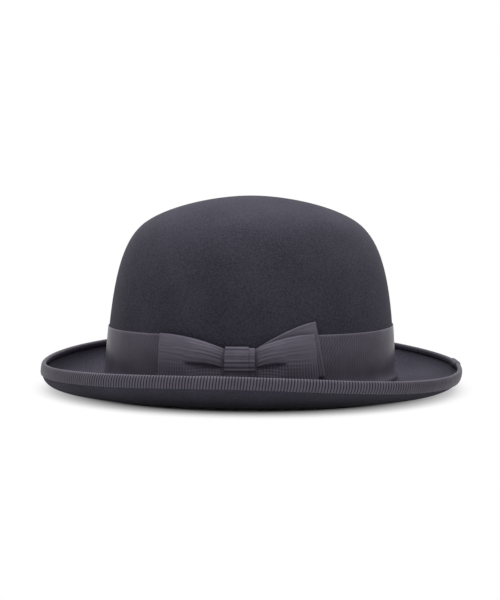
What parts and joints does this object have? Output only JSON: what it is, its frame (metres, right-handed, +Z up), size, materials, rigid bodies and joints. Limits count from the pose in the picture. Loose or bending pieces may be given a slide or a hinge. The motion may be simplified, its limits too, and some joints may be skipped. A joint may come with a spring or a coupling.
{
  "type": "bowler hat",
  "caption": "Stiff felt hat with a round crown, a curled and bound brim, a ribbon band with a flat side bow, a leather sweatband and a lining.",
  "frame": {"origin": "on the floor that the hat stands on, under the middle of the brim, and under the middle of the crown to within 1 mm", "axes": "+Z up out of the crown, -X the front of the hat, -Y the wearer's left, where the bow is"},
  "size_m": [0.3042, 0.261, 0.1384],
  "materials": {
    "felt": "stiffened fur felt, matt",
    "ribbon": "grosgrain, slight sheen",
    "thread": "sewing thread",
    "leather": "smooth",
    "reed": "matt",
    "reed_tape": "woven tape",
    "small_ribbon": "satin ribbon",
    "lining": "satin"
  },
  "bodies": {
    "root": {"felt_body": "felt", "hatband": "ribbon", "brim_binding": "ribbon", "binding_stitching": "thread", "bow_loops": "ribbon", "bow_knot": "ribbon", "bow_tail": "ribbon", "sweatband": "leather", "sweatband_stitching": "thread", "sweatband_reed": "reed", "reed_tape": "reed_tape", "sweatband_bow": "small_ribbon", "sweatband_bow_knot": "small_ribbon", "lining_tip": "lining", "lining_side": "lining", "lining_seam": "thread"}
  },
  "joints": []
}
